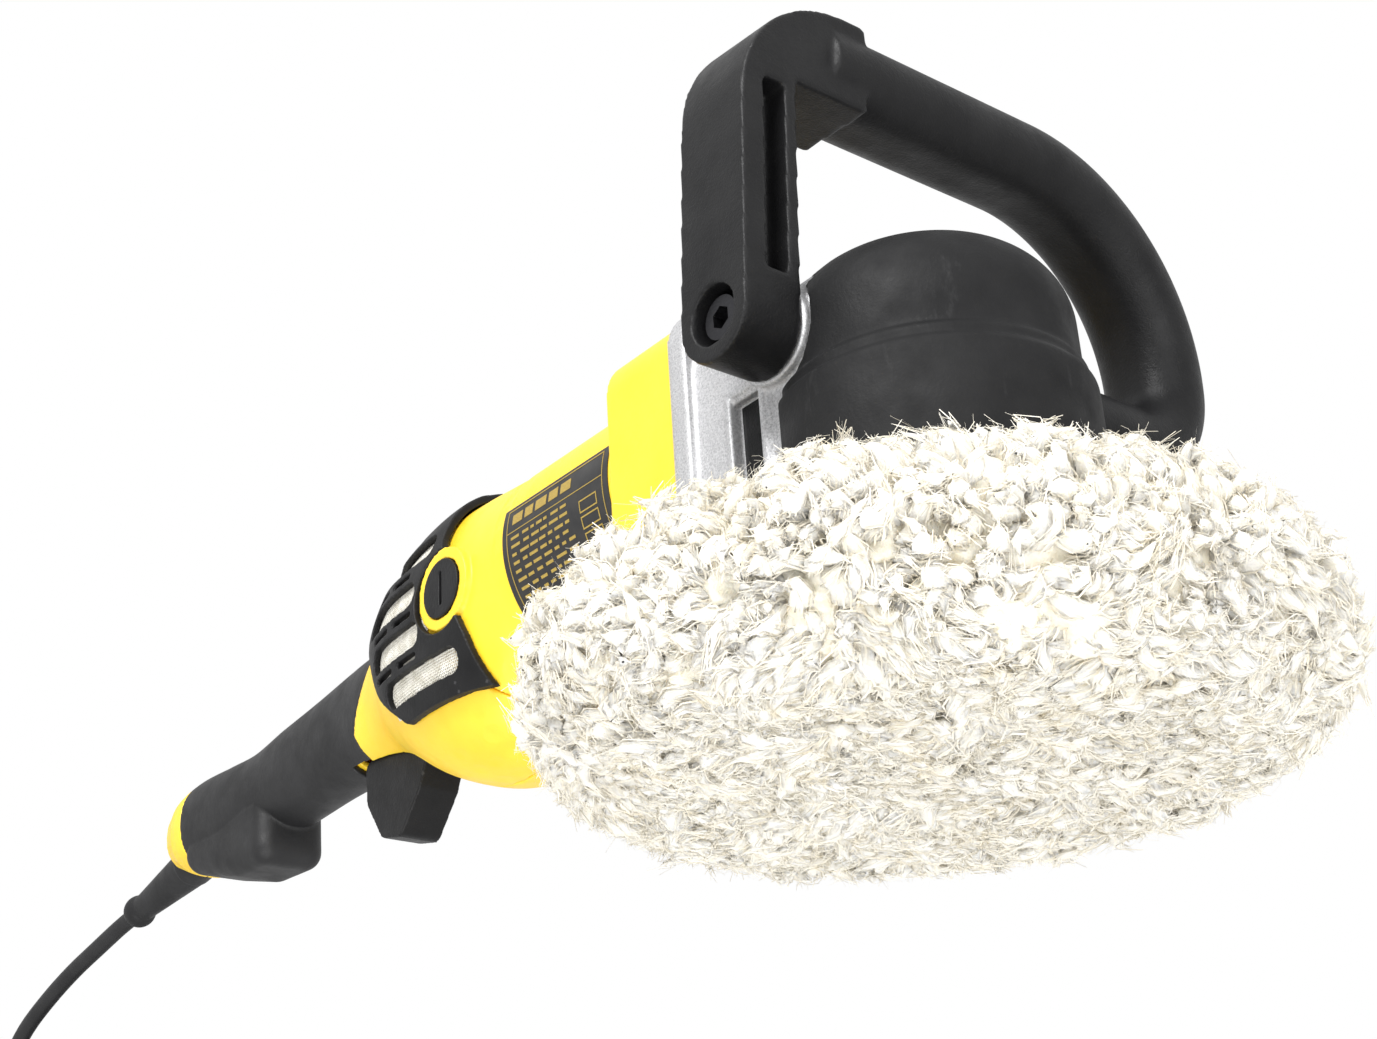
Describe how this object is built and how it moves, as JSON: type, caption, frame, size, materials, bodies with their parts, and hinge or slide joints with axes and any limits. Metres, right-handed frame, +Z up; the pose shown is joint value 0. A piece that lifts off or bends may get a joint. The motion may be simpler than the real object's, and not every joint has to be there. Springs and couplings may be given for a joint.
{
  "type": "rotary polisher",
  "caption": "Right-angle corded rotary polisher with bail handle, finger trigger, dust-screened motor housing and a deep lambswool pad.",
  "frame": {"origin": "on the spindle axis, at the working face of the wool pad", "axes": "+Z up along the spindle, +Y from the spindle back along the motor to the tail, +X to the tool's left"},
  "size_m": [0.251, 0.8206, 0.2321],
  "materials": {
    "yellow_housing": "satin moulded, fine texture",
    "black_plastic": "textured moulded",
    "soft_rubber": "matt overmould",
    "cast_aluminium": "sand cast, speckled",
    "steel": "machined",
    "black_screw": "black oxide",
    "label": "printed film",
    "dust_mesh": "fine woven screen",
    "brass": "plain",
    "carbon": "pressed carbon",
    "copper": "lacquered wire",
    "lamination": "stacked sheet",
    "wool": "curly lambswool",
    "lead": "rubber sheath",
    "module": "potted"
  },
  "bodies": {
    "housing": {"gear_case": "cast_aluminium", "gear_case_cover": "soft_rubber", "bearing_retainer": "black_plastic", "retainer_screws": "steel", "gear_case_screws": "black_screw", "spindle_seal": "soft_rubber", "bearing_plate": "cast_aluminium", "motor_housing": "yellow_housing", "handle_half_left": "yellow_housing", "handle_half_right": "yellow_housing", "soft_grip": "soft_rubber", "handle_screws": "black_screw", "intake_shield_left": "black_plastic", "intake_shield_right": "black_plastic", "dust_mesh_left": "dust_mesh", "dust_mesh_right": "dust_mesh", "rating_label": "label", "brush_cap_left": "black_plastic", "brush_cap_right": "black_plastic", "brush_holders": "brass", "carbon_brushes": "carbon", "stator_core": "lamination", "field_coils": "copper", "rear_bearing_bridge": "black_plastic", "power_module": "module", "switch_body": "black_plastic", "spindle_bearing_top": "steel", "spindle_bearing_bottom": "steel", "countershaft_bearing_front": "steel", "countershaft_bearing_rear": "steel", "armature_bearing_front": "steel", "armature_bearing_rear": "steel", "bail_screws": "black_screw", "trigger_pin": "steel", "strain_relief": "soft_rubber", "power_cord": "lead", "cord_coil": "lead", "plug_lead": "lead", "cord_tie": "soft_rubber", "mains_plug": "soft_rubber"},
    "bail": {"bail_handle": "black_plastic"},
    "pad_drive": {"spindle": "steel", "ring_gear": "steel", "backing_pad": "black_plastic", "pad_flange_nut": "steel", "wool_pad": "wool"},
    "countershaft_assembly": {"countershaft": "steel", "countershaft_gear": "steel", "bevel_pinion": "steel"},
    "armature": {"armature_shaft": "steel", "armature_core": "lamination", "commutator": "copper", "cooling_fan": "black_plastic"},
    "trigger": {"trigger": "black_plastic"},
    "lock_on": {"lock_on_button": "soft_rubber"},
    "dial": {"speed_dial": "black_plastic"},
    "spindle_lock": {"spindle_lock_button": "black_plastic"}
  },
  "joints": [
    {"name": "bail_tilt", "type": "hinge", "parent": "housing", "child": "bail", "pos_m": [0, 0.0057, 0.1273], "axis": [1, 0, 0], "range_deg": [-25, 35]},
    {"name": "spindle_spin", "type": "hinge", "parent": "housing", "child": "pad_drive", "pos_m": [0, 0, 0.096], "axis": [0, 0, 1], "continuous": true},
    {"name": "countershaft_spin", "type": "hinge", "parent": "housing", "child": "countershaft_assembly", "pos_m": [0, 0.04, 0.096], "axis": [0, 1, 0], "continuous": true},
    {"name": "armature_spin", "type": "hinge", "parent": "housing", "child": "armature", "pos_m": [0, 0.1, 0.12], "axis": [0, 1, 0], "continuous": true},
    {"name": "trigger_pull", "type": "hinge", "parent": "housing", "child": "trigger", "pos_m": [0, 0.244, 0.093], "axis": [1, 0, 0], "range_deg": [0, 8], "stiffness_Nm_per_rad": 1, "springref_deg": -17.19},
    {"name": "lock_on_press", "type": "slide", "parent": "housing", "child": "lock_on", "axis": [0, 0, -1], "range_m": [0, 0.0025], "stiffness_N_per_m": 400, "springref_m": -0.002},
    {"name": "speed_dial_turn", "type": "hinge", "parent": "housing", "child": "dial", "pos_m": [0, 0.36, 0.1155], "axis": [1, 0, 0], "range_deg": [0, 270]},
    {"name": "spindle_lock_press", "type": "slide", "parent": "housing", "child": "spindle_lock", "axis": [0, 0, -1], "range_m": [0, 0.006], "stiffness_N_per_m": 400, "springref_m": -0.002}
  ],
  "couplings": [
    {"joint": "countershaft_spin", "follows": "spindle_spin", "ratio": -3},
    {"joint": "armature_spin", "follows": "spindle_spin", "ratio": 9}
  ]
}
